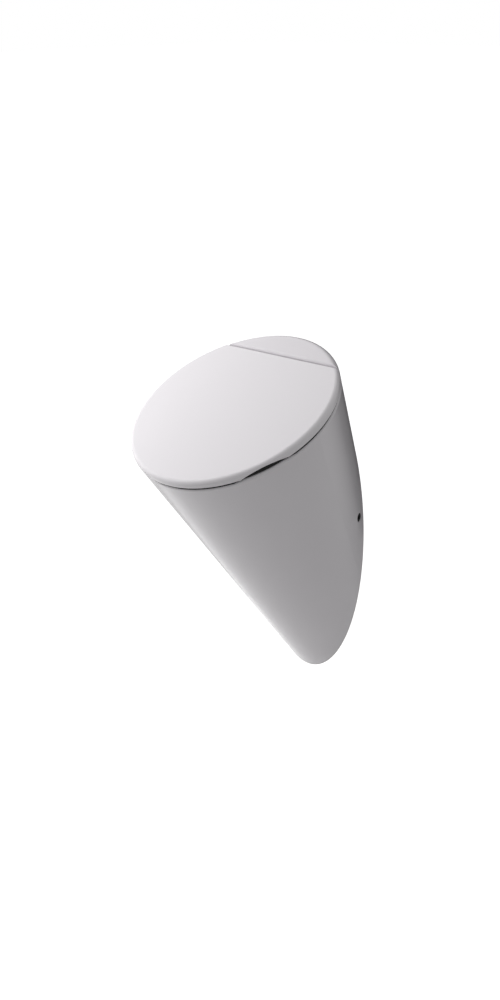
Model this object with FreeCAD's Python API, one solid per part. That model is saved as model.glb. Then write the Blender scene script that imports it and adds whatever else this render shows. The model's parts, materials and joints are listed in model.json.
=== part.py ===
import FreeCAD, Part
import math
import os

# Wall hung urinal with a round lid, in millimetres.
# Origin: on the wall, midway between the two wall studs. +Z is up, the front faces -Y.
# Rim frame: x to the right, b backwards along the tilted rim, h square to the rim.

V = FreeCAD.Vector

# ---- driving dimensions ----------------------------------------------------------------
# cone and wall
rim_radius = 165.0
rim_tilt = 29.0
cone_half_angle = 9.0
rim_reach = 160.0
rim_height = 176.0
shell_wall = 10.0
rim_plate = 14.0
rim_edge_round = 5.0

# lid, and the crescent behind it
lid_gap = 2.2
lid_height = 11.5
lid_edge_round = 6.5
lid_skin = 3.0
deck_edge_round = 9.0
deck_front_round = 5.0
deck_depth = 54.0
pivot_drop = 5.5
lid_back = 4.8
lid_back_round = 2.0
lid_open_angle = 122.0
lid_swing_gap = 0.4
lid_back_relief = 0.5
lid_corner_length = 15.0
notch_direction = 33.0
notch_length = 75.0
notch_rise = 6.6

# bowl
lip_width = 20.0
lip_side_width = 37.0
lip_back_width = 35.0
lip_rounding = 6.0
waist_taper = 10.0
knee_taper = 36.0
knee_rise = 16.0
knee_back_gap = 2.0
bowl_wall = 10.0
cavity_front = 120.0

# hinges
hinge_spacing = 124.0
hinge_eye_width = 16.0
hinge_eye_radius = 3.1
hinge_pin_radius = 2.0
hinge_pin_clearance = 0.06
hinge_gap = 0.4
hinge_lug_width = 5.0
hinge_lug_length = 26.0
hinge_foot_length = 21.0
hinge_foot_width = 26.0
hinge_foot_height = 4.0
hinge_foot_round = 4.0
hinge_arm_length = 5.0
hinge_bolt_radius = 3.0
hinge_bolt_length = 40.0
hinge_head_radius = 4.8
hinge_head_height = 3.2
hinge_socket_across = 4.0
hinge_bolt_play = 1.5
hinge_nut_across = 13.0
hinge_washer_radius = 9.0

# lid buffers
buffer_radius = 4.5
buffer_inset = 16.0
buffer_front_angle = 50.0
buffer_rear_angle = 34.0
buffer_play = 0.2
buffer_draft = 0.8

# flush inlet
inlet_height = 146.0
inlet_stem_radius = 10.45
inlet_bore_radius = 7.0
inlet_hole_play = 1.1
inlet_seat_radius = 23.0
inlet_boss_radius = 31.0
inlet_boss_wall = 11.0
nozzle_radius = 20.0
nozzle_nose_radius = 11.0
nozzle_rim = 2.5
nozzle_depth = 11.0
nozzle_wall = 3.0
nozzle_jet_radius = 1.8
nozzle_jets = 9
union_reach = 8.0
union_gap = 4.0
inlet_pipe_radius = 9.0
inlet_thread_radius = 10.48
inlet_thread_length = 28.0
inlet_wall_length = 20.0
inlet_hex_length = 8.0
inlet_hex_across = 24.0
inlet_collar = 2.5
inlet_seal_length = 3.0
inlet_nut_across = 30.0
inlet_washer_radius = 17.0

# drain
drain_reach = 72.0
drain_level = -46.0
drain_recess_play = 3.0
drain_hole_play = 1.5
drain_tube_radius = 23.5
drain_tube_wall = 2.5
drain_tube_length = 52.0
drain_flange_ledge = 8.0
drain_flange_height = 2.5
drain_nut_wall = 9.5

# strainer
strainer_inset = 6.0
strainer_plate = 2.0
strainer_play = 0.4
strainer_depth = 14.0
strainer_hole_radius = 2.2
strainer_knob_radius = 6.0
strainer_knob_height = 9.0

# trap and outlet
trap_top_drop = 33.0
trap_shoulder = 4.5
trap_rear_reach = 32.0
trap_corner = 14.0
trap_wall = 3.0
trap_shell_gap = 4.0
trap_bottom_level = -204.0
trap_seal_depth = 50.0
trap_rear_chamber = 12.0
trap_partition = 2.5
trap_socket_height = 15.0
trap_socket_gap = 2.0
trap_lip_height = 8.0
outlet_radius = 25.0
outlet_wall = 2.5
outlet_neck = 0.5
outlet_wall_length = 55.0
union_stub_length = 19.0
union_stub_wall = 4.5
union_nut_length = 20.0
union_nut_wall = 5.5
union_lip = 2.0
union_collar = 3.0

# wall fixings
stud_inset = 31.0
stud_radius = 4.0
stud_wall_radius = 5.0
stud_hole_play = 0.5
stud_wall_length = 40.0
stud_room_length = 20.0
stud_nut_across = 13.0
stud_washer_radius = 10.0
bracket_gap = 1.47
bracket_leg = 45.0
bracket_half_height = 20.0
bracket_depth = 34.0
bracket_plate = 4.0
side_screw_reach = 19.0
side_hole_radius = 7.0
side_hole_play = 0.2
side_screw_radius = 4.0
side_screw_end = 12.0
side_head_recess = 6.0
side_flange_radius = 9.0
side_flange_height = 3.0
side_head_height = 3.0
side_socket_across = 5.0

# shared sizes of seals and fasteners
seal_thickness = 2.5
washer_thickness = 1.6
nut_height = 9.0
small_nut_height = 6.5
chamfer = 0.8
loose = 0.2
grip_groove = 2.0

# ---- values worked out from the sizes above --------------------------------------------
far = 3 * (rim_radius + rim_reach + rim_height)
flare = math.tan(math.radians(cone_half_angle))
front_angle = math.radians(rim_tilt + cone_half_angle)
shell_inset = shell_wall / math.cos(math.radians(cone_half_angle))
shell_depth = (rim_reach + rim_radius) / math.sin(front_angle) + 2 * shell_wall
rim_top = -lid_gap
rim_under = rim_top - rim_plate
hinge_back = rim_radius - deck_depth
lip_back = hinge_back - lip_back_width
lip_half_width = rim_radius - lip_side_width
pivot_h = lid_height - pivot_drop
lid_round = min(lid_edge_round, lid_height - 0.5)
hinge_middle = hinge_back - lid_back - hinge_gap - hinge_foot_length / 2
hinge_places = [-hinge_spacing / 2, hinge_spacing / 2]
drain_hole_radius = drain_tube_radius + drain_hole_play
drain_flange_radius = drain_hole_radius + drain_flange_ledge
drain_recess_radius = drain_flange_radius + drain_recess_play
strainer_radius = drain_flange_radius - strainer_inset
socket_radius = drain_tube_radius + trap_socket_gap
trap_half_width = socket_radius + trap_wall + trap_shoulder
bowl_under = drain_level - bowl_wall
trap_top = bowl_under - trap_top_drop
outlet_level = trap_top - outlet_radius - trap_wall
rim_frame = FreeCAD.Placement(V(0, -rim_reach, rim_height), FreeCAD.Rotation(V(1, 0, 0), rim_tilt))


# ---- points and frames -----------------------------------------------------------------
def rim_point(x, b, h):
    """World point of rim coordinates."""
    return rim_frame.multVec(V(x, b, h))


def to_world(shape):
    """Moves a shape from the rim frame to the wall frame."""
    moved = shape.copy()
    moved.Placement = rim_frame.multiply(shape.Placement)
    return moved


def shell_half_width(y, z, inset):
    """x of the shell's cone, moved inwards by inset, at a world y and z."""
    point = rim_frame.inverse().multVec(V(0, y, z))
    radius = rim_radius + point.z * flare - inset
    return math.sqrt(radius ** 2 - point.y ** 2)


def on_inlet(y):
    """Point on the flush inlet's axis."""
    return V(0, y, inlet_height)


def on_drain(z):
    """Point on the drain's axis."""
    return V(0, -drain_reach, z)


def on_outlet(y):
    """Point on the outlet pipe's axis."""
    return V(0, y, outlet_level)


def on_side_screw(x):
    """Point on the side screws' common axis."""
    return V(x, -side_screw_reach, 0)


# ---- simple solids ---------------------------------------------------------------------
def bar(radius, start, end):
    """Round bar between two points."""
    axis = end.sub(start)
    return Part.makeCylinder(radius, axis.Length, start, axis)


def tube(outer, inner, start, end):
    """Round tube between two points."""
    return bar(outer, start, end).cut(bar(inner, start, end))


def chamfered_bar(radius, size, start, end):
    """Round bar with both ends chamfered."""
    plain = bar(radius, start, end)
    rims = [edge for edge in plain.Edges if isinstance(edge.Curve, Part.Circle)]
    return plain.makeChamfer(size, rims)


def hexagon(across, start, end):
    """Hexagonal bar between two points."""
    axis = end.sub(start)
    side = V(1, 0, 0) if abs(axis.x) < abs(axis.y) + abs(axis.z) else V(0, 0, 1)
    other = side.cross(axis)
    other.normalize()
    side = axis.cross(other)
    side.normalize()
    corner = across / math.sqrt(3)
    points = []
    for step in range(7):
        turn = math.radians(60 * step + 30)
        points.append(start + side * (corner * math.cos(turn)) + other * (corner * math.sin(turn)))
    return Part.Face(Part.makePolygon(points)).extrude(axis)


def hex_nut(across, bore, start, end):
    """Hexagonal nut with its corners turned off at both ends."""
    turned = chamfered_bar(across / math.sqrt(3), chamfer, start, end)
    return hexagon(across, start, end).common(turned).cut(bar(bore, start, end))


def ring_nut(radius, bore, ribs, start, end):
    """Round plastic nut with grip ribs along its side."""
    nut = chamfered_bar(radius, chamfer, start, end)
    axis = end.sub(start)
    side = V(1, 0, 0)
    for step in range(ribs):
        out = FreeCAD.Rotation(axis, 360.0 * step / ribs).multVec(side)
        groove = out * (radius + grip_groove / 6)
        nut = nut.cut(bar(grip_groove, start + groove, end + groove))
    return nut.cut(bar(bore, start, end))


def block(low, high):
    """Box between two corners."""
    return Part.makeBox(high.x - low.x, high.y - low.y, high.z - low.z, low)


def across_x(edges, half_width, x=0.0):
    """Prism along X of a closed outline drawn in the plane x = 0."""
    solid = Part.Face(Part.Wire(edges)).extrude(V(2 * half_width, 0, 0))
    solid.translate(V(x - half_width, 0, 0))
    return solid


def corners_to_edges(points):
    """Closed outline of straight edges through (b, h) pairs."""
    ends = [V(0, b, h) for b, h in points]
    return [Part.makeLine(start, end) for start, end in zip(ends, ends[1:] + ends[:1])]


def group(shapes):
    """Separate solids that share one node."""
    return Part.makeCompound(shapes)


# ---- cone ------------------------------------------------------------------------------
def cone(inset, low, high):
    """The shell's cone between two heights of the rim frame, moved inwards by inset."""
    low_radius = rim_radius + low * flare - inset
    high_radius = rim_radius + high * flare - inset
    return Part.makeCone(low_radius, high_radius, high - low, V(0, 0, low), V(0, 0, 1))


def rounded_cone(low, high, rounding):
    """The shell's cone with its upper edge rounded."""
    blank = cone(0, low, high)
    upper = [edge for edge in blank.Edges
             if isinstance(edge.Curve, Part.Circle) and edge.Curve.Center.z > (low + high) / 2]
    return blank.makeFillet(rounding, upper)


def front_of_wall(shape):
    """Keeps what lies in front of the wall plane."""
    return shape.common(block(V(-far, -far, -far), V(far, 0, far)))


# ---- bowl ------------------------------------------------------------------------------
def front_line(level):
    """Point at a height on the inside of the shell's front."""
    foot = rim_point(0, -rim_radius, 0)
    y = foot.y + (foot.z - level) * math.tan(front_angle) + shell_wall / math.cos(front_angle)
    return V(0, y, level)


def cubic(start, knee, second_knee, end, s):
    """Cubic curve from start to end, drawn towards the knees."""
    r = 1 - s
    return start * (r ** 3) + knee * (3 * r * r * s) + second_knee * (3 * r * s * s) + end * (s ** 3)


def oval(centre, half_width, depth):
    """Smooth oval about a centre, half_width along X and depth along its other axis."""
    points = []
    for step in range(16):
        turn = math.pi * step / 8
        points.append(centre + V(half_width * math.cos(turn), 0, 0) + depth * math.sin(turn))
    curve = Part.BSplineCurve()
    curve.interpolate(Points=points, PeriodicFlag=True)
    return Part.Wire([curve.toShape()])


def bowl_section(s, wall):
    """Oval section of the bowl at s, 0 at the lip and 1 at the drain, grown by a wall."""
    knee_level = drain_level + knee_rise
    back_y = drain_recess_radius - drain_reach
    front_knee = front_line(knee_level)
    back_knee = V(0, back_y - knee_back_gap, knee_level)
    front_end = V(0, -drain_recess_radius - drain_reach, drain_level)
    back_end = V(0, back_y, drain_level)
    front = cubic(rim_point(0, lip_width - rim_radius, 0), front_knee, front_knee, front_end, s)
    back = cubic(rim_point(0, lip_back, 0), back_knee, back_knee, back_end, s)
    half_width = cubic(lip_half_width, lip_half_width - waist_taper, lip_half_width - knee_taper,
                       drain_recess_radius, s)
    centre = (front + back) * 0.5 - V(0, 0, wall * s)
    depth = (back - front) * 0.5
    depth = depth * ((depth.Length + wall) / depth.Length)
    return oval(centre, half_width + wall, depth)


def bowl_solid(wall):
    """The bowl's hollow, or with a wall the solid that the hollow is cut from."""
    stations = [0.0, 0.15, 0.3, 0.45, 0.6, 0.75, 0.88, 1.0]
    return Part.makeLoft([bowl_section(s, wall) for s in stations], True, False)


# ---- ceramic body ----------------------------------------------------------------------
def find_deck_front():
    """b of the crescent's front face, which the lid's back edge and the open lid just pass."""
    turn = math.radians(lid_open_angle)
    reach = pivot_drop + deck_front_round + lid_swing_gap
    reach -= (pivot_drop - deck_front_round) * math.cos(turn)
    open_lid = reach / math.sin(turn) - deck_front_round
    edge_middle = math.hypot(lid_back - lid_back_round, pivot_drop - lid_back_round)
    swept_edge = edge_middle + lid_back_round + lid_swing_gap
    return hinge_back + max(open_lid, swept_edge)


deck_front = find_deck_front()


def deck():
    """Raised crescent behind the lid, rounded outside and along its front edge."""
    slant = deck_front_round * (1 - math.cos(math.radians(45)))
    low = V(0, deck_front, rim_under)
    start = V(0, deck_front, lid_height - deck_front_round)
    middle = V(0, deck_front + slant, lid_height - slant)
    end = V(0, deck_front + deck_front_round, lid_height)
    back_high = V(0, far, lid_height)
    back_low = V(0, far, rim_under)
    edges = [Part.makeLine(low, start), Part.Arc(start, middle, end).toShape(),
             Part.makeLine(end, back_high), Part.makeLine(back_high, back_low),
             Part.makeLine(back_low, low)]
    return rounded_cone(rim_under, lid_height, deck_edge_round).common(across_x(edges, far))


def service_space():
    """Hollow behind and below the bowl, open to the wall."""
    deep = cone(shell_inset, -shell_depth, rim_under)
    pocket = cone(shell_inset, rim_under - 1, lid_height - shell_wall)
    behind = block(V(-far, deck_front + shell_wall, -far), V(far, far, far))
    space = to_world(deep.fuse(pocket.common(behind)))
    floor = drain_level + knee_rise - 2 * bowl_wall
    front_block = block(V(-far, -far, floor), V(far, -cavity_front, far))
    return space.cut(front_block).cut(bowl_solid(bowl_wall))


def find_inlet_seat():
    """y of the flat seat for the flush nozzle, where the bowl's back wall passes its edge."""
    lip = rim_point(0, lip_back, 0)
    knee_y = drain_recess_radius - drain_reach - knee_back_gap
    slope = (knee_y - lip.y) / (lip.z - drain_level - knee_rise)
    return lip.y + slope * (lip.z - inlet_height + inlet_seat_radius)


inlet_seat = find_inlet_seat()


def inlet_boss(body):
    """Thickens the bowl's back wall and cuts the seat and hole of the flush nozzle."""
    boss_front = on_inlet(inlet_seat - inlet_seat_radius / 3)
    boss_back = on_inlet(inlet_seat + inlet_boss_wall)
    body = body.fuse(bar(inlet_boss_radius, boss_front, boss_back))
    body = body.cut(bowl_solid(0))
    body = body.cut(bar(inlet_seat_radius, on_inlet(inlet_seat - inlet_seat_radius), on_inlet(inlet_seat)))
    hole = inlet_stem_radius + inlet_hole_play
    return body.cut(bar(hole, on_inlet(inlet_seat - 1), on_inlet(inlet_seat + inlet_boss_wall + 1)))


def round_lip(body):
    """Rounds the bowl's mouth where it meets the rim's flat top."""
    reach = rim_radius - lip_width / 2
    lip = []
    for edge in body.Edges:
        ends = [rim_frame.inverse().multVec(vertex.Point) for vertex in edge.Vertexes]
        flat = all(abs(end.z - rim_top) < 0.01 and abs(end.y) < reach for end in ends)
        if flat and isinstance(edge.Curve, Part.BSplineCurve):
            lip.append(edge)
    return body.makeFillet(lip_rounding, lip)


def ceramic_body():
    """Glazed ceramic: shell, rim, crescent, bowl, boss and holes."""
    body = rounded_cone(-shell_depth, rim_top, rim_edge_round).fuse(deck())
    body = front_of_wall(to_world(body)).cut(service_space())
    body = inlet_boss(body)
    body = body.cut(bar(drain_hole_radius, on_drain(bowl_under - 1), on_drain(drain_level + 1)))
    for x in hinge_places:
        low = rim_point(x, hinge_middle, rim_under - 1)
        high = rim_point(x, hinge_middle, rim_top + 1)
        body = body.cut(bar(hinge_bolt_radius + hinge_bolt_play, low, high))
    body = body.cut(bar(side_hole_radius, on_side_screw(-rim_radius), on_side_screw(rim_radius)))
    return round_lip(body)


# ---- lid, made in the rim frame --------------------------------------------------------
def lid_disc(inset, low):
    """Round disc whose upper edge is a quarter round."""
    radius = rim_radius - inset
    top = lid_height - inset
    rounding = lid_round - inset
    start = V(radius, 0, top - rounding)
    end = V(radius - rounding, 0, top)
    slant = rounding * (1 - math.cos(math.radians(45)))
    middle = V(radius - slant, 0, top - slant)
    edges = [Part.makeLine(V(0, 0, low), V(radius, 0, low)), Part.makeLine(V(radius, 0, low), start),
             Part.Arc(start, middle, end).toShape(), Part.makeLine(end, V(0, 0, top)),
             Part.makeLine(V(0, 0, top), V(0, 0, low))]
    return Part.Face(Part.Wire(edges)).revolve(V(0, 0, 0), V(0, 0, 1), 360)


def quarter(centre, start, end):
    """Quarter circle between two points about a centre."""
    middle = (start + end) * 0.5 - centre
    middle.multiply((start - centre).Length / middle.Length)
    return Part.Arc(start, centre + middle, end).toShape()


def lid_strip(inset, low):
    """Prism that ends the lid along the hinge: a crisp upper edge, rounded about the pivot below."""
    radius = lid_back - inset
    corner = lid_back_round * radius / lid_back
    high = lid_height - inset
    wall = hinge_back + radius
    top = V(0, wall - corner, high)
    side = V(0, wall, high - corner)
    back = V(0, wall, pivot_h)
    under = V(0, hinge_back, pivot_h - radius)
    foot = V(0, hinge_back, low)
    front_low = V(0, -far, low)
    front_top = V(0, -far, high)
    edges = [Part.makeLine(front_top, top), quarter(V(0, wall - corner, high - corner), top, side),
             Part.makeLine(side, back), quarter(V(0, hinge_back, pivot_h), back, under),
             Part.makeLine(under, foot), Part.makeLine(foot, front_low),
             Part.makeLine(front_low, front_top)]
    return across_x(edges, far)


def lid_outer():
    """Outer form of the lid."""
    return lid_disc(0, 0).common(lid_strip(0, -1))


def finger_notch():
    """Flat arch under the lid's edge on the front right."""
    arch = (notch_length ** 2 / 4 + notch_rise ** 2) / (2 * notch_rise)
    turn = math.radians(notch_direction)
    out = V(math.cos(turn), -math.sin(turn), 0)
    start = out * (rim_radius - lid_round - lid_skin) + V(0, 0, notch_rise - arch)
    return Part.makeCylinder(arch, lid_round + 3 * lid_skin, start, out)


def hinge_pin_blank(x, grow):
    """Round pin through both lugs of one hinge."""
    half = hinge_eye_width / 2 + hinge_gap + hinge_lug_width
    return bar(hinge_pin_radius + grow, V(x - half, hinge_back, pivot_h), V(x + half, hinge_back, pivot_h))


def hinge_lug(x):
    """Rib inside the lid that holds an end of a hinge pin."""
    front = hinge_back - hinge_lug_length
    over_foot = rim_top + hinge_foot_height + hinge_gap
    low = pivot_h - lid_back + hinge_gap
    points = [(front, lid_height), (front, pivot_h), (hinge_back - lid_back, over_foot),
              (hinge_back, low), (hinge_back, lid_height)]
    half = hinge_lug_width / 2
    eye = bar(lid_back, V(x - half, hinge_back, pivot_h), V(x + half, hinge_back, pivot_h))
    return across_x(corners_to_edges(points), half, x).fuse(eye)


def eye_room(x):
    """Space in the lid round the eye of a hinge block."""
    half = hinge_eye_width / 2 + hinge_gap
    radius = hinge_eye_radius + hinge_gap
    return bar(radius, V(x - half, hinge_back, pivot_h), V(x + half, hinge_back, pivot_h))


def lid_shell():
    """Hollow lid with its hinge lugs and finger notch."""
    outer = lid_outer()
    hollow = lid_disc(lid_skin, -1).common(lid_strip(lid_skin, -2))
    reach = math.sqrt(rim_radius ** 2 - hinge_back ** 2) - lid_corner_length
    relief = block(V(-reach, hinge_back - lid_back, -far), V(reach, far, pivot_h - lid_back_relief))
    lid = outer.cut(hollow).cut(relief)
    offset = hinge_eye_width / 2 + hinge_gap + hinge_lug_width / 2
    for x in hinge_places:
        lid = lid.cut(eye_room(x))
        for side in (-offset, offset):
            lid = lid.fuse(hinge_lug(x + side).common(outer))
        lid = lid.cut(hinge_pin_blank(x, 0))
    return to_world(lid.cut(finger_notch()))


def lid_buffers():
    """Four soft buffers under the lid."""
    buffers = []
    for turn in (-buffer_front_angle, buffer_front_angle - 180, buffer_rear_angle, 180 - buffer_rear_angle):
        x = (rim_radius - buffer_inset) * math.cos(math.radians(turn))
        b = (rim_radius - buffer_inset) * math.sin(math.radians(turn))
        low = rim_top + buffer_play
        high = lid_height - lid_skin
        tip = buffer_radius - buffer_draft
        buffers.append(to_world(Part.makeCone(tip, buffer_radius, high - low, V(x, b, low), V(0, 0, 1))))
    return group(buffers)


# ---- hinges, made in the rim frame -----------------------------------------------------
def hinge_block(x):
    """Foot on the rim, with an arm that ends in the eye for the pin."""
    half = hinge_foot_width / 2
    foot_front = hinge_middle - hinge_foot_length / 2
    foot_back = hinge_middle + hinge_foot_length / 2
    foot_top = rim_top + hinge_foot_height
    foot = block(V(x - half, foot_front, rim_top), V(x + half, foot_back, foot_top))
    uprights = [edge for edge in foot.Edges if edge.BoundBox.ZLength > hinge_foot_height / 2]
    foot = foot.makeFillet(hinge_foot_round, uprights)
    top = pivot_h + hinge_eye_radius / 2
    front = foot_back - hinge_arm_length
    points = [(front, rim_top + 1), (front, top - 1), (front + 1, top), (hinge_back, top),
              (hinge_back - hinge_eye_radius, pivot_h - hinge_eye_radius / 2), (foot_back, rim_top + 1)]
    arm = across_x(corners_to_edges(points), hinge_eye_width / 2, x)
    eye_start = V(x - hinge_eye_width / 2, hinge_back, pivot_h)
    eye_end = V(x + hinge_eye_width / 2, hinge_back, pivot_h)
    body = foot.fuse(arm).fuse(bar(hinge_eye_radius, eye_start, eye_end))
    body = body.cut(hinge_pin_blank(x, hinge_pin_clearance))
    bolt_low = V(x, hinge_middle, rim_top - 1)
    return to_world(body.cut(bar(hinge_bolt_radius, bolt_low, V(x, hinge_middle, foot_top + 1))))


def hinge_bolts():
    """Pan head bolts through the hinge feet and the rim."""
    bolts = []
    for x in hinge_places:
        seat = rim_top + hinge_foot_height
        head = chamfered_bar(hinge_head_radius, chamfer, V(x, hinge_middle, seat),
                             V(x, hinge_middle, seat + hinge_head_height))
        socket = hexagon(hinge_socket_across, V(x, hinge_middle, seat + hinge_head_height / 3),
                         V(x, hinge_middle, seat + 2 * hinge_head_height))
        shank_end = V(x, hinge_middle, seat - hinge_bolt_length)
        shank = bar(hinge_bolt_radius, shank_end, V(x, hinge_middle, seat))
        bolts.append(to_world(head.cut(socket).fuse(shank)))
    return group(bolts)


def under_rim(make, drop, height):
    """One ring per hinge bolt, hung a drop below the rim plate."""
    rings = []
    for x in hinge_places:
        high = V(x, hinge_middle, rim_under - drop)
        low = V(x, hinge_middle, rim_under - drop - height)
        rings.append(to_world(make(low, high)))
    return group(rings)


def hinge_seals():
    """Rubber washers under the rim plate."""
    return under_rim(lambda low, high: tube(hinge_washer_radius, hinge_bolt_radius, low, high),
                     0, seal_thickness)


def hinge_washers():
    """Steel washers under the rubber ones."""
    return under_rim(lambda low, high: tube(hinge_washer_radius, hinge_bolt_radius, low, high),
                     seal_thickness, washer_thickness)


def hinge_nuts():
    """Nuts on the hinge bolts."""
    return under_rim(lambda low, high: hex_nut(hinge_nut_across, hinge_bolt_radius, low, high),
                     seal_thickness + washer_thickness, small_nut_height)


# ---- flush inlet -----------------------------------------------------------------------
nozzle_back = inlet_seat - seal_thickness
seal_back = inlet_seat + inlet_boss_wall + seal_thickness
washer_back = seal_back + washer_thickness
locknut_back = washer_back + nut_height
stem_end = locknut_back + union_gap + union_reach
collar_front = stem_end + inlet_seal_length
collar_back = collar_front + inlet_collar


def flush_nozzle():
    """Spreader head in the bowl with a ring of jets, on a hollow threaded stem."""
    rim_front = nozzle_back - nozzle_rim
    nose = nozzle_back - nozzle_depth
    head = bar(nozzle_radius, on_inlet(rim_front), on_inlet(nozzle_back))
    depth = rim_front - nose
    cap = Part.makeCone(nozzle_radius, nozzle_nose_radius, depth, on_inlet(rim_front), V(0, -1, 0))
    head = head.fuse(cap)
    body = head.fuse(bar(inlet_stem_radius, on_inlet(nozzle_back), on_inlet(stem_end)))
    body = body.cut(bar(inlet_bore_radius, on_inlet(nose + nozzle_wall), on_inlet(stem_end)))
    for step in range(nozzle_jets):
        turn = math.radians(180 + 180.0 * step / (nozzle_jets - 1))
        out = V(math.cos(turn), 0, math.sin(turn))
        start = on_inlet((rim_front + nose) / 2)
        body = body.cut(bar(nozzle_jet_radius, start, start + out * (2 * nozzle_radius)))
    return body


def nozzle_gasket():
    """Rubber gasket behind the spreader head."""
    return tube(nozzle_radius, inlet_stem_radius, on_inlet(nozzle_back), on_inlet(inlet_seat))


def inlet_gasket():
    """Rubber gasket behind the ceramic boss."""
    return tube(inlet_washer_radius, inlet_stem_radius, on_inlet(inlet_seat + inlet_boss_wall),
                on_inlet(seal_back))


def inlet_washer():
    """Brass washer on the rear gasket."""
    return tube(inlet_washer_radius, inlet_stem_radius, on_inlet(seal_back), on_inlet(washer_back))


def inlet_locknut():
    """Nut that holds the stem in the ceramic."""
    return hex_nut(inlet_nut_across, inlet_stem_radius, on_inlet(washer_back), on_inlet(locknut_back))


def inlet_seal():
    """Fibre seal between the stem and the inlet pipe."""
    return tube(inlet_stem_radius - loose, inlet_bore_radius, on_inlet(stem_end), on_inlet(collar_front))


def inlet_union_nut():
    """Nut that pulls the inlet pipe's collar onto the stem."""
    start = stem_end - union_reach
    end = collar_back + inlet_collar
    nut = hex_nut(inlet_nut_across, inlet_pipe_radius + loose, on_inlet(start), on_inlet(end))
    return nut.cut(bar(inlet_stem_radius, on_inlet(start), on_inlet(collar_back)))


def inlet_pipe():
    """Pipe from the union nut to the threaded end in the wall."""
    thread_start = inlet_wall_length - inlet_thread_length
    pipe = bar(inlet_stem_radius - loose, on_inlet(collar_front), on_inlet(collar_back))
    pipe = pipe.fuse(bar(inlet_pipe_radius, on_inlet(collar_back), on_inlet(thread_start)))
    hex_start = thread_start - inlet_hex_length
    pipe = pipe.fuse(hexagon(inlet_hex_across, on_inlet(hex_start), on_inlet(thread_start)))
    pipe = pipe.fuse(bar(inlet_thread_radius, on_inlet(thread_start), on_inlet(inlet_wall_length)))
    return pipe.cut(bar(inlet_bore_radius, on_inlet(collar_front), on_inlet(inlet_wall_length)))


# ---- drain and strainer ----------------------------------------------------------------
flange_under = drain_level + seal_thickness
flange_top = flange_under + drain_flange_height
drain_nut_top = bowl_under - seal_thickness
drain_tube_end = flange_top - drain_tube_length


def waste_flange():
    """Flanged drain tube through the bowl's floor."""
    flange = chamfered_bar(drain_flange_radius, chamfer, on_drain(flange_under), on_drain(flange_top))
    body = flange.fuse(bar(drain_tube_radius, on_drain(drain_tube_end), on_drain(flange_under)))
    return body.cut(bar(drain_tube_radius - drain_tube_wall, on_drain(drain_tube_end), on_drain(flange_top)))


def waste_upper_gasket():
    """Rubber gasket under the flange."""
    return tube(drain_flange_radius, drain_tube_radius, on_drain(drain_level), on_drain(flange_under))


def waste_lower_gasket():
    """Rubber gasket under the bowl's floor."""
    return tube(drain_flange_radius, drain_tube_radius, on_drain(drain_nut_top), on_drain(bowl_under))


def waste_locknut():
    """Ribbed nut that clamps the drain tube."""
    outer = drain_tube_radius + drain_nut_wall
    return ring_nut(outer, drain_tube_radius, 12, on_drain(drain_nut_top - nut_height),
                    on_drain(drain_nut_top))


def strainer():
    """Perforated plate with a short cup that centres it in the drain, and a lifting knob."""
    top = flange_top + strainer_plate
    cup = drain_tube_radius - drain_tube_wall - strainer_play
    plate = chamfered_bar(strainer_radius, chamfer, on_drain(flange_top), on_drain(top))
    cup_low = on_drain(flange_top - strainer_depth)
    cup_wall = tube(cup, cup - strainer_plate, cup_low, on_drain(flange_top + 1))
    knob_top = top + strainer_knob_height
    knob = bar(strainer_knob_radius * 0.6, on_drain(top - 1), on_drain(knob_top - strainer_knob_height / 3))
    knob = knob.fuse(chamfered_bar(strainer_knob_radius, chamfer,
                                   on_drain(knob_top - strainer_knob_height / 3), on_drain(knob_top)))
    body = plate.fuse(cup_wall).fuse(knob)
    ring = (cup - strainer_plate + strainer_knob_radius) / 2
    for step in range(10):
        turn = math.radians(36 * step)
        middle = V(ring * math.cos(turn), ring * math.sin(turn), 0)
        under = on_drain(flange_top - 1) + middle
        body = body.cut(bar(strainer_hole_radius, under, on_drain(top + 1) + middle))
    return body


# ---- trap and outlet -------------------------------------------------------------------
stub_end = union_stub_length - trap_rear_reach
collar_start = stub_end + seal_thickness
collar_end = collar_start + union_collar
stub_radius = outlet_radius - outlet_wall + union_stub_wall


def trap_blank(inset):
    """Box with rounded corners whose front follows the cone, moved inwards by inset."""
    front = drain_reach + socket_radius + trap_wall
    low = V(inset - trap_half_width, inset - front, trap_bottom_level + inset)
    high = V(trap_half_width - inset, -trap_rear_reach - inset, trap_top - inset)
    box = block(low, high)
    uprights = [edge for edge in box.Edges if edge.BoundBox.ZLength > 1]
    box = box.makeFillet(trap_corner - inset, uprights)
    follow = to_world(cone(shell_inset + trap_shell_gap + inset, -shell_depth, rim_under))
    return box.common(follow)


def trap_body():
    """Trap with a partition that holds the water seal, a socket on top and a stub behind."""
    body = trap_blank(0).cut(trap_blank(trap_wall))
    partition_back = -trap_rear_reach - trap_wall - trap_rear_chamber
    partition_low = outlet_level - outlet_radius + outlet_wall - trap_seal_depth
    partition = block(V(-trap_half_width, partition_back - trap_partition, partition_low),
                      V(trap_half_width, partition_back, trap_top))
    body = body.fuse(partition.common(trap_blank(trap_wall / 2)))
    socket_top = trap_top + trap_socket_height
    socket_low = trap_top - trap_wall / 2
    body = body.fuse(bar(socket_radius + trap_wall, on_drain(socket_low), on_drain(socket_top)))
    body = body.cut(bar(socket_radius, on_drain(trap_top - trap_wall - 1), on_drain(socket_top)))
    stub_start = -trap_rear_reach - trap_wall / 2
    body = body.fuse(bar(stub_radius, on_outlet(stub_start), on_outlet(stub_end)))
    return body.cut(bar(outlet_radius - outlet_wall, on_outlet(stub_start - trap_wall), on_outlet(stub_end)))


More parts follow.
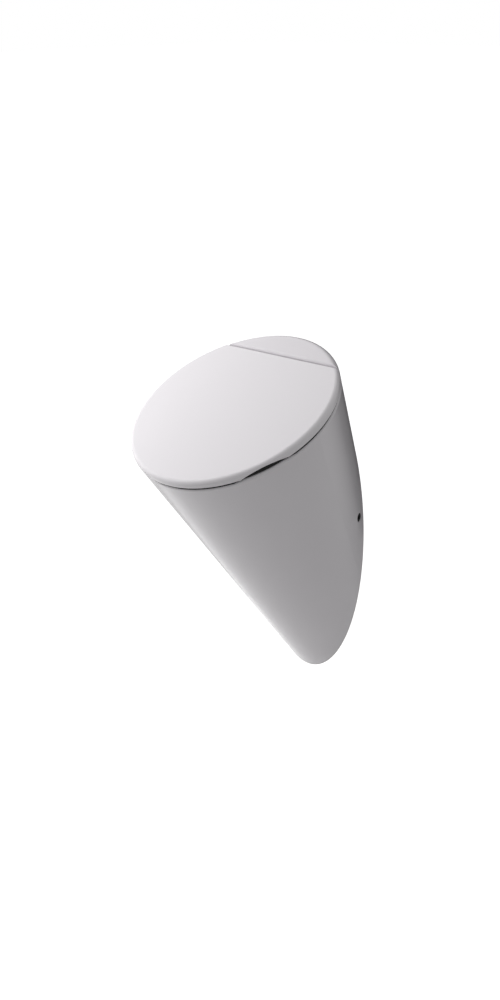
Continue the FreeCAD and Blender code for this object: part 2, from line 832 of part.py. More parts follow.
def trap_inlet_seal():
    """Lip seal between the drain tube and the trap's socket."""
    top = trap_top + trap_socket_height
    lip = tube(socket_radius + trap_wall, drain_tube_radius, on_drain(top), on_drain(top + seal_thickness))
    return lip.fuse(tube(socket_radius, drain_tube_radius, on_drain(top - trap_lip_height), on_drain(top)))


def trap_union_nut():
    """Ribbed nut that pulls the outlet pipe's collar onto the trap's stub."""
    end = collar_end + union_lip
    start = end - union_nut_length
    nut = ring_nut(stub_radius + union_nut_wall, outlet_radius + loose, 10, on_outlet(start), on_outlet(end))
    return nut.cut(bar(stub_radius, on_outlet(start), on_outlet(collar_end)))


def outlet_seal():
    """Seal ring between the stub and the outlet pipe's collar."""
    bore = outlet_radius - outlet_wall
    return tube(stub_radius - loose, bore, on_outlet(stub_end), on_outlet(collar_start))


def outlet_pipe():
    """Outlet pipe into the wall, with a collar and a slightly thinner neck under the nut."""
    neck_end = collar_end + union_lip
    pipe = bar(outlet_radius, on_outlet(neck_end), on_outlet(outlet_wall_length))
    pipe = pipe.fuse(bar(outlet_radius - outlet_neck, on_outlet(collar_start), on_outlet(neck_end)))
    pipe = pipe.fuse(bar(stub_radius - loose, on_outlet(collar_start), on_outlet(collar_end)))
    return pipe.cut(bar(outlet_radius - outlet_wall, on_outlet(collar_start), on_outlet(outlet_wall_length)))


# ---- wall fixings ----------------------------------------------------------------------
bracket_outer_x = shell_half_width(0, bracket_half_height, shell_inset) - bracket_gap
bracket_inner_x = bracket_outer_x - bracket_leg
stud_x = bracket_outer_x - stud_inset
side_head_end = shell_half_width(-side_screw_reach, 0, 0) - side_head_recess
side_head_start = side_head_end - side_head_height


def wall_bracket(side):
    """Angle bracket: one leg on the wall, the other carries the side screw."""
    wall_leg = block(V(bracket_inner_x, -bracket_plate, -bracket_half_height),
                     V(bracket_outer_x, 0, bracket_half_height))
    side_leg = block(V(bracket_outer_x - bracket_plate, -bracket_depth, -bracket_half_height),
                     V(bracket_outer_x, 0, bracket_half_height))
    body = wall_leg.fuse(side_leg)
    stud = V(stud_x, 0, 0)
    body = body.cut(bar(stud_radius + stud_hole_play, stud - V(0, 2 * bracket_plate, 0), stud + V(0, 1, 0)))
    body = body.cut(bar(side_screw_radius, on_side_screw(bracket_inner_x), on_side_screw(rim_radius)))
    if side < 0:
        body = body.mirror(V(0, 0, 0), V(1, 0, 0))
    return body


def at_studs(make, near, away):
    """One piece per wall stud between two distances in front of the wall."""
    return group([make(V(x, -near, 0), V(x, -away, 0)) for x in (-stud_x, stud_x)])


def wall_studs():
    """Studs that carry the brackets, thicker where they stand in the wall."""
    return at_studs(lambda wall, end: bar(stud_radius, wall, end).fuse(
        bar(stud_wall_radius, wall, V(wall.x, 0, 0))), -stud_wall_length, stud_room_length)


def stud_washers():
    """Washers on the brackets."""
    near = bracket_plate
    return at_studs(lambda near_end, away: tube(stud_washer_radius, stud_radius, near_end, away),
                    near, near + washer_thickness)


def stud_nuts():
    """Nuts on the wall studs."""
    near = bracket_plate + washer_thickness
    return at_studs(lambda near_end, away: hex_nut(stud_nut_across, stud_radius, near_end, away),
                    near, near + small_nut_height)


def side_spacers():
    """Flanged bushes in the ceramic's side holes."""
    spacers = []
    for side in (-1, 1):
        start = on_side_screw(side * bracket_outer_x)
        flange_end = on_side_screw(side * (bracket_outer_x + side_flange_height))
        end = on_side_screw(side * side_head_start)
        body = bar(side_flange_radius, start, flange_end)
        body = body.fuse(bar(side_hole_radius - side_hole_play, start, end))
        spacers.append(body.cut(bar(side_screw_radius, start, end)))
    return group(spacers)


def side_screws():
    """Socket head screws through the bushes into the brackets."""
    screws = []
    for side in (-1, 1):
        shank = bar(side_screw_radius, on_side_screw(side * (bracket_outer_x - side_screw_end)),
                    on_side_screw(side * side_head_start))
        head = bar(side_hole_radius - 2 * side_hole_play, on_side_screw(side * side_head_start),
                   on_side_screw(side * side_head_end))
        socket = hexagon(side_socket_across, on_side_screw(side * (side_head_start + side_head_height / 3)),
                         on_side_screw(side * side_head_end))
        screws.append(head.cut(socket).fuse(shank))
    return group(screws)


# ---- files -----------------------------------------------------------------------------
def main():
    """Writes one file per sub-part."""
    left, right = hinge_places
    nodes = {
        "ceramic_body": ceramic_body(),
        "lid_shell": lid_shell(),
        "lid_buffers": lid_buffers(),
        "hinge_pin_left": to_world(hinge_pin_blank(left, 0)),
        "hinge_pin_right": to_world(hinge_pin_blank(right, 0)),
        "hinge_block_left": hinge_block(left),
        "hinge_block_right": hinge_block(right),
        "hinge_bolts": hinge_bolts(),
        "hinge_seals": hinge_seals(),
        "hinge_washers": hinge_washers(),
        "hinge_nuts": hinge_nuts(),
        "flush_nozzle": flush_nozzle(),
        "nozzle_gasket": nozzle_gasket(),
        "inlet_gasket": inlet_gasket(),
        "inlet_washer": inlet_washer(),
        "inlet_locknut": inlet_locknut(),
        "inlet_seal": inlet_seal(),
        "inlet_union_nut": inlet_union_nut(),
        "inlet_pipe": inlet_pipe(),
        "waste_flange": waste_flange(),
        "waste_upper_gasket": waste_upper_gasket(),
        "waste_lower_gasket": waste_lower_gasket(),
        "waste_locknut": waste_locknut(),
        "strainer": strainer(),
        "trap_body": trap_body(),
        "trap_inlet_seal": trap_inlet_seal(),
        "trap_union_nut": trap_union_nut(),
        "outlet_seal": outlet_seal(),
        "outlet_pipe": outlet_pipe(),
        "wall_bracket_left": wall_bracket(-1),
        "wall_bracket_right": wall_bracket(1),
        "wall_studs": wall_studs(),
        "stud_washers": stud_washers(),
        "stud_nuts": stud_nuts(),
        "side_spacers": side_spacers(),
        "side_screws": side_screws(),
    }
    os.makedirs("parts", exist_ok=True)
    for name, shape in nodes.items():
        shape.exportStep("parts/" + name + ".step")
        print(name, "solids", len(shape.Solids), "valid", shape.isValid(), "volume", round(shape.Volume))
    pivot = rim_point(0, hinge_back, pivot_h)
    print("lid pivot", round(pivot.y, 3), round(pivot.z, 3), "deck front", round(deck_front, 2),
          "outlet level", outlet_level, "inlet seat", round(inlet_seat, 2), "stud x", round(stud_x, 3))


main()
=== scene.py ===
import json
import math

import bpy
import numpy as np
from mathutils import Matrix, Vector


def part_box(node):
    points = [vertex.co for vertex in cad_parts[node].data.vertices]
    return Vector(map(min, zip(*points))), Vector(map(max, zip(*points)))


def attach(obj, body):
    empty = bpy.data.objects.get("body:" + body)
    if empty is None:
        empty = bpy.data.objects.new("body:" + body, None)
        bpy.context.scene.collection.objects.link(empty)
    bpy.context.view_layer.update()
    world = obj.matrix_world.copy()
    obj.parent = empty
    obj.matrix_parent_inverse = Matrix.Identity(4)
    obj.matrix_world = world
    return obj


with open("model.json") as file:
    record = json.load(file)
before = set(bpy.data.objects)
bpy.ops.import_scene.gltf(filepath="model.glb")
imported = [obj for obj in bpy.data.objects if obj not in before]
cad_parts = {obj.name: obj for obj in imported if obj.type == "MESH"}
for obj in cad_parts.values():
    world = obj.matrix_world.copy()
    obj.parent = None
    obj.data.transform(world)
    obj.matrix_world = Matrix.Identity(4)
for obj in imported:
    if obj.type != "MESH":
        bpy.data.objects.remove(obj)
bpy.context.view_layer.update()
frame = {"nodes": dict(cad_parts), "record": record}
print("frame loaded:", len(frame["nodes"]), "nodes")


def startFinish(name, **sockets):
    # a material with its shader's uniform sockets set, and Object coordinates for its patterns
    material = bpy.data.materials.new(name)
    material.use_nodes = True
    tree = material.node_tree
    shader = tree.nodes["Principled BSDF"]
    for socket, value in sockets.items():
        shader.inputs[socket].default_value = value
    coords = tree.nodes.new("ShaderNodeTexCoord").outputs["Object"]
    return material, tree, shader, coords


def noiseAt(tree, coords, scale, detail, stretch=(1, 1, 1)):
    # noise of a scale in waves per metre, stretched along the axes where asked
    mapping = tree.nodes.new("ShaderNodeMapping")
    mapping.inputs["Scale"].default_value = stretch
    noise = tree.nodes.new("ShaderNodeTexNoise")
    noise.inputs["Scale"].default_value = scale
    noise.inputs["Detail"].default_value = detail
    tree.links.new(coords, mapping.inputs["Vector"])
    tree.links.new(mapping.outputs["Vector"], noise.inputs["Vector"])
    return noise.outputs["Fac"]


def spread(tree, factor, low, high, start=0.35, end=0.65):
    # a number that runs from low to high as the factor runs from start to end
    node = tree.nodes.new("ShaderNodeMapRange")
    for socket, value in (("From Min", start), ("From Max", end), ("To Min", low), ("To Max", high)):
        node.inputs[socket].default_value = value
    tree.links.new(factor, node.inputs["Value"])
    return node.outputs["Result"]


def tint(tree, factor, first, second):
    # a colour between two others, of which the first may also come from another node
    node = tree.nodes.new("ShaderNodeMix")
    node.data_type = "RGBA"
    if isinstance(first, tuple):
        node.inputs["A"].default_value = (*first, 1)
    else:
        tree.links.new(first, node.inputs["A"])
    node.inputs["B"].default_value = (*second, 1)
    tree.links.new(factor, node.inputs["Factor"])
    return node.outputs["Result"]


def relief(tree, shader, height, strength, distance):
    # bump of a height pattern, distance in metres
    node = tree.nodes.new("ShaderNodeBump")
    node.inputs["Strength"].default_value = strength
    node.inputs["Distance"].default_value = distance
    tree.links.new(height, node.inputs["Height"])
    tree.links.new(node.outputs["Normal"], shader.inputs["Normal"])


glaze = {
    "light": (0.80, 0.772, 0.80), "shade": (0.785, 0.756, 0.785), "cloudScale": 7.0, "cloudDetail": 2.0,
    "gloss": 0.12, "dull": 0.18, "glossScale": 40.0, "glossDetail": 3.0,
    "rippleScale": 22.0, "rippleDetail": 1.0, "rippleStrength": 0.25, "rippleDepth": 0.0005,
    "biscuit": (0.60, 0.58, 0.55), "biscuitRougher": 0.6, "wallEdge": -0.0012,
}


def whiteGlaze():
    # glazed ceramic with a slow ripple, bare and matt where it meets the wall
    material, tree, shader, coords = startFinish("whiteGlaze", IOR=1.45)
    cloud = noiseAt(tree, coords, glaze["cloudScale"], glaze["cloudDetail"])
    glazed = tint(tree, spread(tree, cloud, 0, 1), glaze["shade"], glaze["light"])
    place = tree.nodes.new("ShaderNodeSeparateXYZ")
    tree.links.new(coords, place.inputs["Vector"])
    bare = spread(tree, place.outputs["Y"], 0, 1, glaze["wallEdge"], glaze["wallEdge"] / 2)
    tree.links.new(tint(tree, bare, glazed, glaze["biscuit"]), shader.inputs["Base Color"])
    patches = noiseAt(tree, coords, glaze["glossScale"], glaze["glossDetail"])
    smooth = spread(tree, patches, glaze["gloss"], glaze["dull"])
    rough = tree.nodes.new("ShaderNodeMath")
    rough.operation = "MULTIPLY_ADD"
    rough.inputs[1].default_value = glaze["biscuitRougher"]
    tree.links.new(bare, rough.inputs[0])
    tree.links.new(smooth, rough.inputs[2])
    tree.links.new(rough.outputs["Value"], shader.inputs["Roughness"])
    ripple = noiseAt(tree, coords, glaze["rippleScale"], glaze["rippleDetail"])
    relief(tree, shader, ripple, glaze["rippleStrength"], glaze["rippleDepth"])
    return material


plain = {"cloudDetail": 4.0, "grainDetail": 2.0, "grainStrength": 0.4}


def plainFinish(name, light, shade, gloss, dull, cloudScale, grainScale, grainDepth,
                stretch=(1, 1, 1), **sockets):
    # one finish for moulded, rubber and metal pieces: two tints, two roughnesses, fine relief
    material, tree, shader, coords = startFinish(name, **sockets)
    cloud = noiseAt(tree, coords, cloudScale, plain["cloudDetail"])
    tree.links.new(tint(tree, spread(tree, cloud, 0, 1), shade, light), shader.inputs["Base Color"])
    grain = noiseAt(tree, coords, grainScale, plain["grainDetail"], stretch)
    tree.links.new(spread(tree, grain, gloss, dull), shader.inputs["Roughness"])
    relief(tree, shader, grain, plain["grainStrength"], grainDepth)
    return material


recipes = {
    "lid": {
        "name": "lidThermoset", "light": (0.84, 0.814, 0.84), "shade": (0.832, 0.806, 0.832),
        "gloss": 0.22, "dull": 0.25, "cloudScale": 3.0, "grainScale": 16.0, "grainDepth": 0.00008,
    },
    "buffer": {
        "name": "softBuffer", "light": (0.66, 0.66, 0.65), "shade": (0.58, 0.58, 0.57),
        "gloss": 0.45, "dull": 0.6, "cloudScale": 300.0, "grainScale": 900.0, "grainDepth": 0.0001,
    },
    "hinge_steel": {
        "name": "brushedHinge", "light": (0.62, 0.62, 0.61), "shade": (0.5, 0.5, 0.5),
        "gloss": 0.2, "dull": 0.38, "cloudScale": 120.0, "grainScale": 700.0, "grainDepth": 0.00006,
        "stretch": (1, 12, 12), "Metallic": 1.0,
    },
    # near-black rubber for the seals, also worn by the lips that paint the shade under the lid's edge
    "seal": {
        "name": "sealRubberAndPaintedShade", "light": (0.03, 0.03, 0.031), "shade": (0.018, 0.018, 0.018),
        "gloss": 0.6, "dull": 0.8, "cloudScale": 150.0, "grainScale": 900.0, "grainDepth": 0.0001,
        "IOR": 1.2,
    },
    "fibre": {
        "name": "pressedFibre", "light": (0.42, 0.16, 0.10), "shade": (0.30, 0.11, 0.07),
        "gloss": 0.6, "dull": 0.8, "cloudScale": 300.0, "grainScale": 1500.0, "grainDepth": 0.0001,
    },
    "chrome": {
        "name": "brightChrome", "light": (0.84, 0.85, 0.86), "shade": (0.78, 0.79, 0.80),
        "gloss": 0.04, "dull": 0.1, "cloudScale": 60.0, "grainScale": 200.0, "grainDepth": 0.00003,
        "Metallic": 1.0,
    },
    "brass": {
        "name": "machinedBrass", "light": (0.80, 0.60, 0.30), "shade": (0.62, 0.44, 0.20),
        "gloss": 0.18, "dull": 0.34, "cloudScale": 80.0, "grainScale": 900.0, "grainDepth": 0.00006,
        "Metallic": 1.0,
    },
    "trap_plastic": {
        "name": "trapPlastic", "light": (0.70, 0.70, 0.69), "shade": (0.64, 0.64, 0.63),
        "gloss": 0.35, "dull": 0.5, "cloudScale": 40.0, "grainScale": 800.0, "grainDepth": 0.0001,
    },
    "nut_plastic": {
        "name": "darkNutPlastic", "light": (0.12, 0.12, 0.125), "shade": (0.085, 0.085, 0.09),
        "gloss": 0.35, "dull": 0.5, "cloudScale": 60.0, "grainScale": 800.0, "grainDepth": 0.0001,
    },
    "bracket_steel": {
        "name": "zincSteel", "light": (0.60, 0.61, 0.63), "shade": (0.45, 0.46, 0.48),
        "gloss": 0.25, "dull": 0.45, "cloudScale": 260.0, "grainScale": 420.0, "grainDepth": 0.00008,
        "Metallic": 1.0,
    },
    # the bushes' near-black is partly the nylon's own colour and partly painted shade for the side holes
    "bush": {
        "name": "bushNylonAndHoleShade", "light": (0.03, 0.03, 0.031), "shade": (0.02, 0.02, 0.021),
        "gloss": 0.6, "dull": 0.8, "cloudScale": 80.0, "grainScale": 700.0, "grainDepth": 0.0001,
        "IOR": 1.2,
    },
}
finishes = {"ceramic": whiteGlaze()}
for slotName, recipe in recipes.items():
    finishes[slotName] = plainFinish(**recipe)
slotOf = {part["node"]: part["material_slot"] for part in frame["record"]["subparts"]}
for nodeName, nodeObject in frame["nodes"].items():
    nodeObject.data.materials.clear()
    nodeObject.data.materials.append(finishes[slotOf[nodeName]])
# painted shade: the side screws' heads take the black finish of the bushes in front of them,
# so the side holes read dark
frame["nodes"]["side_screws"].data.materials[0] = finishes["bush"]
print("finishes assigned")


def newPiece(name, points, faces, finish):
    # an object at the origin whose mesh has these points and faces, in one finish
    mesh = bpy.data.meshes.new(name)
    mesh.from_pydata(points, [], faces)
    mesh.materials.append(finish)
    piece = bpy.data.objects.new(name, mesh)
    bpy.context.scene.collection.objects.link(piece)
    return piece


def ringQuads(rows, count):
    # four-cornered faces between rings of points, count points in each: each point, the one after
    # it in its own ring, and the same two of the next ring
    start = (np.arange(rows - 1) * count)[:, None]
    here = np.arange(count)[None, :]
    after = (here + 1) % count
    corners = [start + here, start + count + here, start + count + after, start + after]
    return np.stack(corners, axis=-1).reshape(-1, 4)


def closedStrip(rows, count):
    # the faces between the rings, and one face over the first ring and over the last
    last = (rows - 1) * count
    ends = [list(range(count)), list(range(last + count - 1, last - 1, -1))]
    return ringQuads(rows, count).tolist() + ends


# the rim's plane leans forward by its tilt, and the shell under it is a leaning cone
rim = {
    "centre": (0.0, -0.160, 0.176), "tilt": math.radians(29),
    "coneRadius": 0.165, "coneAngle": math.radians(9),
}
ridge = {"stepsPerTurn": 28, "footDepth": 0.0001, "endGap": 0.0008, "mostlyAlongX": 0.9}


def windingRidge(start, end, radius, pitch, height):
    # points and faces of a ridge that winds round a shank: it turns once while it climbs one pitch,
    # and its section is a triangle with its foot in the shank and its crest the height above it
    start, end = np.array(start), np.array(end)
    span = np.linalg.norm(end - start)
    along = (end - start) / span
    aside = (1.0, 0.0, 0.0) if abs(along[0]) < ridge["mostlyAlongX"] else (0.0, 0.0, 1.0)
    side = np.cross(along, aside)
    side /= np.linalg.norm(side)
    other = np.cross(along, side)
    length = span - pitch - 2 * ridge["endGap"]
    steps = int(length / pitch * ridge["stepsPerTurn"])
    climb = np.linspace(0, length, steps + 1)
    turn = 2 * np.pi * climb / pitch
    out = np.outer(np.cos(turn), side) + np.outer(np.sin(turn), other)
    foot = radius - ridge["footDepth"]
    section = [(0.0, foot), (pitch / 2, radius + height), (pitch, foot)]
    lines = [start + np.outer(ridge["endGap"] + climb + lift, along) + out * reach for lift, reach in section]
    points = np.stack(lines, axis=1).reshape(-1, 3)
    return points, closedStrip(steps + 1, len(section))


def threadPiece(name, ridges, slot):
    # one piece from several winding ridges, in the finish of the shanks that they wind round; each
    # is given by its start and end on the shank's axis, the shank's radius, its pitch and its height
    points, faces = [], []
    for winding in ridges:
        ridgePoints, ridgeFaces = windingRidge(*winding)
        shift = len(points)
        points += ridgePoints.tolist()
        faces += [[corner + shift for corner in face] for face in ridgeFaces]
    piece = newPiece(name, points, faces, finishes[slot])
    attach(piece, "body")


def middleOf(node):
    # the middle of a node's box, and the box's two corners
    low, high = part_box(node)
    return [(low[axis] + high[axis]) / 2 for axis in range(3)], low, high


studs = {"pitch": 0.00125, "height": 0.0004, "roomShare": 0.8}


def studThreads():
    # the studs stand at the ends of their box; the wall part has the larger radius
    middle, low, high = middleOf("wall_studs")
    wallRadius = (high[2] - low[2]) / 2
    roomRadius = wallRadius * studs["roomShare"]
    ridges = []
    for x in (low[0] + wallRadius, high[0] - wallRadius):
        wallFace = (x, 0, middle[2])
        ridges.append((wallFace, (x, high[1], middle[2]), wallRadius, studs["pitch"], studs["height"]))
        ridges.append(((x, low[1], middle[2]), wallFace, roomRadius, studs["pitch"], studs["height"]))
    threadPiece("studThreads", ridges, "bracket_steel")


inlet = {"pitch": 0.001814, "height": 0.0006, "radius": 0.01048, "start": -0.008}


def inletThread():
    # the pipe's threaded end starts a little before the wall's face and runs to the box's end
    middle, low, high = middleOf("inlet_pipe")
    start, end = (middle[0], inlet["start"], middle[2]), (middle[0], high[1], middle[2])
    threadPiece("inletThread", [(start, end, inlet["radius"], inlet["pitch"], inlet["height"])], "brass")


drain = {"pitch": 0.003, "height": 0.0009, "radius": 0.0235, "run": 0.012}


def drainThread():
    # the drain tube's thread shows from the lock nut's underside down over its run
    middle, low, high = middleOf("waste_locknut")
    start, end = (middle[0], middle[1], low[2] - drain["run"]), (middle[0], middle[1], low[2])
    threadPiece("drainThread", [(start, end, drain["radius"], drain["pitch"], drain["height"])],
                slotOf["waste_flange"])


bolts = {"pitch": 0.001, "height": 0.0003, "radius": 0.003, "side": 0.062, "start": 0.0035, "end": 0.0105}


def boltThreads():
    # each bolt runs square to the rim, down from the nut to the end of the shank
    nut = middleOf("hinge_nuts")[0]
    down = Vector((0, math.sin(rim["tilt"]), -math.cos(rim["tilt"])))
    ridges = []
    for side in (-1, 1):
        middle = Vector((side * bolts["side"], nut[1], nut[2]))
        start, end = middle + down * bolts["start"], middle + down * bolts["end"]
        ridges.append((tuple(start), tuple(end), bolts["radius"], bolts["pitch"], bolts["height"]))
    threadPiece("boltThreads", ridges, "hinge_steel")


# painted shade: near-black lips under the lid's edge make the gap between lid and rim read dark
paintedGapShades = {
    "lidPaintedShadeLip": {
        "inner": 0.1590, "outer": 0.1622, "foot": -0.0019, "top": 0.0048, "lip": 0.0007,
        "turns": (-221.0, 41.0), "tapers": (1.5, 1.5),
    },
    "lidEdgePaintedShadeRight": {
        "inner": 0.1625, "outer": 0.1646, "foot": -0.0030, "top": 0.0002, "lip": 0.0005,
        "turns": (-21.0, 41.0), "tapers": (5.0, 45.0),
    },
    "lidEdgePaintedShadeFront": {
        "inner": 0.1625, "outer": 0.1646, "foot": -0.0030, "top": 0.0002, "lip": 0.0005,
        "turns": (-115.0, -45.0), "tapers": (35.0, 5.0),
    },
}
paintedGapSteps = {"degreesPerStep": 1.0, "profileSteps": 6, "endShare": 0.2}


def paintedShadeLip(name, seal):
    # painted shade: a near-black lip under the lid's edge that darkens the gap between lid and rim;
    # a closed profile with a half-round foot, carried round the rim's circle; its depth under the top
    # falls to a share of itself towards both ends
    halfTurn = np.linspace(np.pi, 2 * np.pi, paintedGapSteps["profileSteps"])
    half = (seal["outer"] - seal["inner"]) / 2
    middle = (seal["outer"] + seal["inner"]) / 2
    foot = [middle + half * np.cos(halfTurn), seal["foot"] + seal["lip"] * (1 + np.sin(halfTurn))]
    top = [[seal["outer"], seal["top"]], [seal["inner"], seal["top"]]]
    profile = np.concatenate([np.stack(foot, axis=1), top])
    first, final = seal["turns"]
    degrees = np.linspace(first, final, int((final - first) / paintedGapSteps["degreesPerStep"]) + 1)
    turn = np.radians(degrees)
    startTaper, endTaper = seal["tapers"]
    share = np.minimum((degrees - first) / startTaper, (final - degrees) / endTaper)
    share = np.clip(share, paintedGapSteps["endShare"], 1)
    across = np.outer(np.cos(turn), profile[:, 0])
    depth = np.outer(np.sin(turn), profile[:, 0])
    height = seal["top"] + np.outer(share, profile[:, 1] - seal["top"])
    # from the rim's own frame to the object's
    cosTilt, sinTilt = math.cos(rim["tilt"]), math.sin(rim["tilt"])
    y = rim["centre"][1] + depth * cosTilt - height * sinTilt
    z = rim["centre"][2] + depth * sinTilt + height * cosTilt
    points = np.stack([across, y, z], axis=-1).reshape(-1, 3)
    piece = newPiece(name, points.tolist(), closedStrip(len(turn), len(profile)), finishes["seal"])
    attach(piece, "lid")


bushes = {
    "y": -0.019, "z": 0.0, "outer": 0.0068, "bore": 0.0034, "below": 0.0005, "edge": 0.0005,
    "pocket": 0.0030, "back": 0.0057, "turnSteps": 48,
}


def shellHalfWidth(y, z):
    # in the rim's frame the shell's radius grows with height, and half its width is the root of
    # that radius squared less the depth squared
    cosTilt, sinTilt = math.cos(rim["tilt"]), math.sin(rim["tilt"])
    fromY, fromZ = y - rim["centre"][1], z - rim["centre"][2]
    depth = fromY * cosTilt + fromZ * sinTilt
    height = fromZ * cosTilt - fromY * sinTilt
    radius = rim["coneRadius"] + height * math.tan(rim["coneAngle"])
    return np.sqrt(radius ** 2 - depth ** 2)


def sideBushes():
    # a dark bush in each side hole, its black partly painted shade for the hole: rings round the
    # hole's axis, each at its own depth under the shell's surface, a flat back and a flat floor to its
    # bore, and the left one mirrors the right
    outer, bore, below, edge = (bushes[key] for key in ("outer", "bore", "below", "edge"))
    # each ring's radius, its depth, and 1 where it follows the curved surface
    rings = np.array([
        (outer, bushes["back"], 0), (outer, below + edge, 1), (outer - edge, below, 1),
        (bore + edge, below, 1), (bore, below + edge, 1), (bore, bushes["pocket"], 1),
    ])
    count = bushes["turnSteps"]
    turn = np.arange(count) * 2 * np.pi / count
    y = bushes["y"] + np.outer(rings[:, 0], np.cos(turn))
    z = bushes["z"] + np.outer(rings[:, 0], np.sin(turn))
    surface = shellHalfWidth(bushes["y"], bushes["z"])
    x = surface + rings[:, 2:] * (shellHalfWidth(y, z) - surface) - rings[:, 1:2]
    middles = [(surface - bushes["back"], bushes["y"], bushes["z"]),
               (surface - bushes["pocket"], bushes["y"], bushes["z"])]
    right = np.concatenate([np.stack([x, y, z], axis=-1).reshape(-1, 3), middles])
    quads = ringQuads(len(rings), count)[:, [0, 3, 2, 1]]
    here = np.arange(count)
    after = (here + 1) % count
    last = (len(rings) - 1) * count
    back = np.stack([np.full(count, len(right) - 2), after, here], axis=-1)
    front = np.stack([np.full(count, len(right) - 1), last + here, last + after], axis=-1)
    fans = np.concatenate([back, front])
    faces = quads.tolist() + fans.tolist()
    faces += (quads[:, ::-1] + len(right)).tolist() + (fans[:, ::-1] + len(right)).tolist()
    points = np.concatenate([right, right * (-1, 1, 1)])
    piece = newPiece("sideBushes", points.tolist(), faces, finishes["bush"])
    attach(piece, "body")


studThreads()
inletThread()
drainThread()
boltThreads()
print("threads made")
# the lips are painted shade in the gap under the lid's edge
for paintedGapName, seal in paintedGapShades.items():
    paintedShadeLip(paintedGapName, seal)
print("lid seals made")
sideBushes()
print("side bushes made")


def emptyTree(holder):
    # the node tree of a material or a world, with nothing in it
    holder.use_nodes = True
    holder.node_tree.nodes.clear()
    return holder.node_tree


def greatest(tree, levels):
    # the greatest of several numbers
    total = levels[0]
    for level in levels[1:]:
        either = tree.nodes.new("ShaderNodeMath")
        either.operation = "MAXIMUM"
        tree.links.new(total, either.inputs[0])
        tree.links.new(level, either.inputs[1])
        total = either.outputs["Value"]
    return total


def seenDirectly(tree):
    # 1 for camera, glossy and transmission rays
    rays = tree.nodes.new("ShaderNodeLightPath").outputs
    return greatest(tree, [rays["Is Camera Ray"], rays["Is Glossy Ray"], rays["Is Transmission Ray"]])


def mattAndGlow(tree, tone, glow):
    # a matt grey, and the same grey with a white glow added
    matt = tree.nodes.new("ShaderNodeBsdfDiffuse")
    matt.inputs["Color"].default_value = (tone,) * 3 + (1,)
    light = tree.nodes.new("ShaderNodeEmission")
    light.inputs["Strength"].default_value = glow
    both = tree.nodes.new("ShaderNodeAddShader")
    tree.links.new(matt.outputs["BSDF"], both.inputs[0])
    tree.links.new(light.outputs["Emission"], both.inputs[1])
    return matt.outputs["BSDF"], both.outputs["Shader"]


def showBetween(tree, share, first, second, outputKind="ShaderNodeOutputMaterial"):
    # shows the first shader where the share is 0 and the second where it is 1
    mix = tree.nodes.new("ShaderNodeMixShader")
    tree.links.new(share, mix.inputs["Fac"])
    tree.links.new(first, mix.inputs[1])
    tree.links.new(second, mix.inputs[2])
    output = tree.nodes.new(outputKind)
    tree.links.new(mix.outputs["Shader"], output.inputs["Surface"])


ground = {"height": -0.53, "half": 30.0, "tone": 0.58, "white": 0.86}


def paleFloor():
    # a wide level square, a matt grey that keeps the shadow; its white glow is there only for rays
    # that see it directly, so it adds no light to the object's matt surfaces
    half, level = ground["half"], ground["height"]
    corners = [(-half, -half, level), (half, -half, level), (half, half, level), (-half, half, level)]
    material = bpy.data.materials.new("paleFloor")
    tree = emptyTree(material)
    matt, both = mattAndGlow(tree, ground["tone"], ground["white"])
    showBetween(tree, seenDirectly(tree), matt, both)
    floor = newPiece("paleFloor", corners, [(0, 1, 2, 3)], material)


cards = {
    "darkCard": {
        "tone": 0.02, "glow": 0.0, "corners": ((-0.35, 0.26), (0.32, 0.26)),
        "low": -0.52, "high": 0.60, "endFade": 0.2, "footFade": 0.22,
    },
    "greyCard": {
        "tone": 0.5, "glow": 0.45, "corners": ((-1.15, -0.25), (-0.35, 0.45)),
        "low": -0.52, "high": 0.35, "endFade": 0.1, "footFade": 0.04,
    },
}


def upright(name, card):
    # an upright card behind the object or beside it, which the camera doesn't see but the glaze
    # reflects; it fades to nothing towards its foot and towards the second of its corners
    (startX, startY), (endX, endY) = card["corners"]
    low, high = card["low"], card["high"]
    corners = [(startX, startY, low), (endX, endY, low), (endX, endY, high), (startX, startY, high)]
    material = bpy.data.materials.new(name)
    tree = emptyTree(material)
    both = mattAndGlow(tree, card["tone"], card["glow"])[1]
    clear = tree.nodes.new("ShaderNodeBsdfTransparent").outputs["BSDF"]
    rays = tree.nodes.new("ShaderNodeLightPath").outputs
    place = tree.nodes.new("ShaderNodeSeparateXYZ")
    tree.links.new(tree.nodes.new("ShaderNodeTexCoord").outputs["Object"], place.inputs["Vector"])
    endFaded = spread(tree, place.outputs["X"], 0, 1, endX - card["endFade"], endX)
    footFaded = spread(tree, place.outputs["Z"], 1, 0, low, low + card["footFade"])
    showBetween(tree, greatest(tree, [rays["Is Camera Ray"], endFaded, footFaded]), both, clear)
    cardObject = newPiece(name, corners, [(0, 1, 2, 3)], material)


sky = {"colour": (1, 1, 1, 1), "horizonLight": 0.15, "overheadLight": 0.63, "seenStrength": 1.0}


def softWorld():
    # a soft sky whose light grows from the horizon to overhead; seen directly, it is white
    world = bpy.data.worlds.new("softWorld")
    bpy.context.scene.world = world
    tree = emptyTree(world)
    light = tree.nodes.new("ShaderNodeBackground")
    light.inputs["Color"].default_value = sky["colour"]
    place = tree.nodes.new("ShaderNodeSeparateXYZ")
    tree.links.new(tree.nodes.new("ShaderNodeTexCoord").outputs["Generated"], place.inputs["Vector"])
    level = spread(tree, place.outputs["Z"], sky["horizonLight"], sky["overheadLight"], 0, 1)
    tree.links.new(level, light.inputs["Strength"])
    seen = tree.nodes.new("ShaderNodeBackground")
    seen.inputs["Color"].default_value = sky["colour"]
    seen.inputs["Strength"].default_value = sky["seenStrength"]
    showBetween(tree, seenDirectly(tree), light.outputs["Background"], seen.outputs["Background"],
                "ShaderNodeOutputWorld")


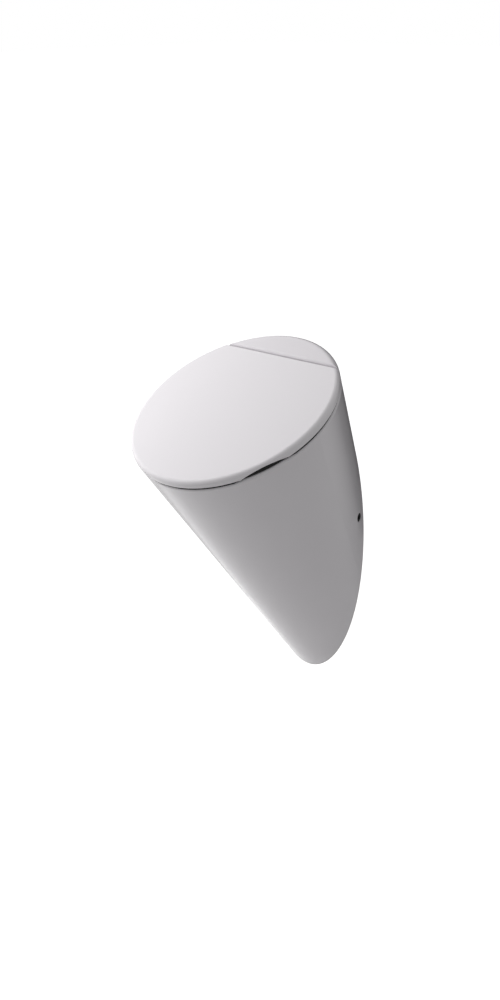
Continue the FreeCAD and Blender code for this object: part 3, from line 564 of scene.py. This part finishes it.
keyLight = {"power": 11.5, "size": 0.85, "place": (-0.90, -0.62, 0.58), "aim": (0.0, -0.17, 0.02)}


def keyLamp():
    # a square lamp that looks at the object from the front left and leaves no reflection of itself
    lamp = bpy.data.lights.new("keyLamp", "AREA")
    lamp.shape = "SQUARE"
    lamp.size = keyLight["size"]
    lamp.energy = keyLight["power"]
    lampObject = bpy.data.objects.new("keyLamp", lamp)
    bpy.context.scene.collection.objects.link(lampObject)
    lampObject.location = keyLight["place"]
    lampObject.visible_glossy = False
    lampObject.rotation_mode = "QUATERNION"
    away = Vector(keyLight["place"]) - Vector(keyLight["aim"])
    lampObject.rotation_quaternion = away.to_track_quat("Z", "Y")


cameraFit = {
    "place": (1.46086, -1.60511, 0.7556), "azimuth": 44.7426, "elevation": 19.3251, "roll": -0.727,
    "focalPixels": 1436.49, "longSide": 1000.0, "sensor": 36.0,
}


def photoCamera():
    # looks back along (sin a cos e, -cos a cos e, sin e), turned by the roll about that line
    azimuth = math.radians(cameraFit["azimuth"])
    elevation = math.radians(cameraFit["elevation"])
    roll = math.radians(cameraFit["roll"])
    back = Vector((math.sin(azimuth) * math.cos(elevation), -math.cos(azimuth) * math.cos(elevation),
                   math.sin(elevation)))
    level = Vector((math.cos(azimuth), math.sin(azimuth), 0))
    rise = back.cross(level)
    right = level * math.cos(roll) + rise * math.sin(roll)
    up = rise * math.cos(roll) - level * math.sin(roll)
    camera = bpy.data.cameras.new("photoCamera")
    camera.sensor_width = cameraFit["sensor"]
    camera.lens = cameraFit["focalPixels"] / cameraFit["longSide"] * cameraFit["sensor"]
    cameraObject = bpy.data.objects.new("photoCamera", camera)
    bpy.context.scene.collection.objects.link(cameraObject)
    matrix = Matrix((right, up, back)).transposed().to_4x4()
    matrix.translation = Vector(cameraFit["place"])
    cameraObject.matrix_world = matrix
    bpy.context.scene.camera = cameraObject


paleFloor()
for cardName, card in cards.items():
    upright(cardName, card)
softWorld()
keyLamp()
photoCamera()
bpy.context.scene.view_settings.view_transform = "Standard"
print("studio ready")
